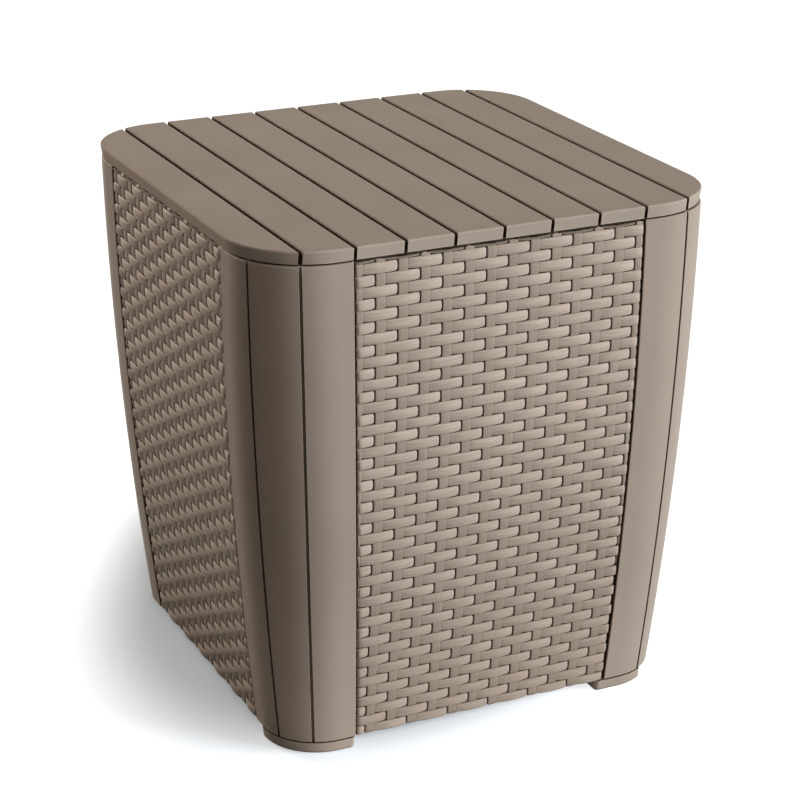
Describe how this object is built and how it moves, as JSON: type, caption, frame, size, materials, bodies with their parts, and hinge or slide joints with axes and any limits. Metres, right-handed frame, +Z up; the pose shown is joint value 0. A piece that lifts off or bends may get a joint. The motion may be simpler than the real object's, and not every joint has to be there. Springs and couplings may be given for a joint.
{
  "type": "storage side table",
  "caption": "Square resin side table that narrows to the floor: slatted lift-off lid, quarter-round corner posts, woven-look side panels and a storage well.",
  "frame": {"origin": "on the ground under the centre of the plan", "axes": "+Z up; the slats run along Y; the front face looks towards -Y"},
  "size_m": [0.4124, 0.4124, 0.4405],
  "materials": {
    "lid_resin": "moulded satin, taupe",
    "post_resin": "moulded satin, taupe",
    "foot_resin": "moulded satin, taupe",
    "wicker_resin": "moulded plain weave, dull, taupe",
    "inner_resin": "moulded plain, dull, taupe",
    "screw_steel": "zinc plated"
  },
  "bodies": {
    "cabinet": {"post_front_left": "post_resin", "post_front_right": "post_resin", "post_back_right": "post_resin", "post_back_left": "post_resin", "wicker_panel_front": "wicker_resin", "wicker_panel_right": "wicker_resin", "wicker_panel_back": "wicker_resin", "wicker_panel_left": "wicker_resin", "foot_front_left": "foot_resin", "foot_front_right": "foot_resin", "foot_back_right": "foot_resin", "foot_back_left": "foot_resin", "top_frame": "inner_resin", "floor_panel": "inner_resin", "frame_screws": "screw_steel", "floor_screws": "screw_steel", "foot_screws": "screw_steel"},
    "lid": {"lid_slat_01": "lid_resin", "lid_slat_02": "lid_resin", "lid_slat_03": "lid_resin", "lid_slat_04": "lid_resin", "lid_slat_05": "lid_resin", "lid_slat_06": "lid_resin", "lid_slat_07": "lid_resin", "lid_slat_08": "lid_resin", "lid_slat_09": "lid_resin", "lid_slat_10": "lid_resin", "lid_frame": "inner_resin", "lid_screws": "screw_steel"}
  },
  "joints": [
    {"name": "lid_lift", "type": "slide", "parent": "cabinet", "child": "lid", "axis": [0, 0, 1], "range_m": [0, 0.4]}
  ]
}
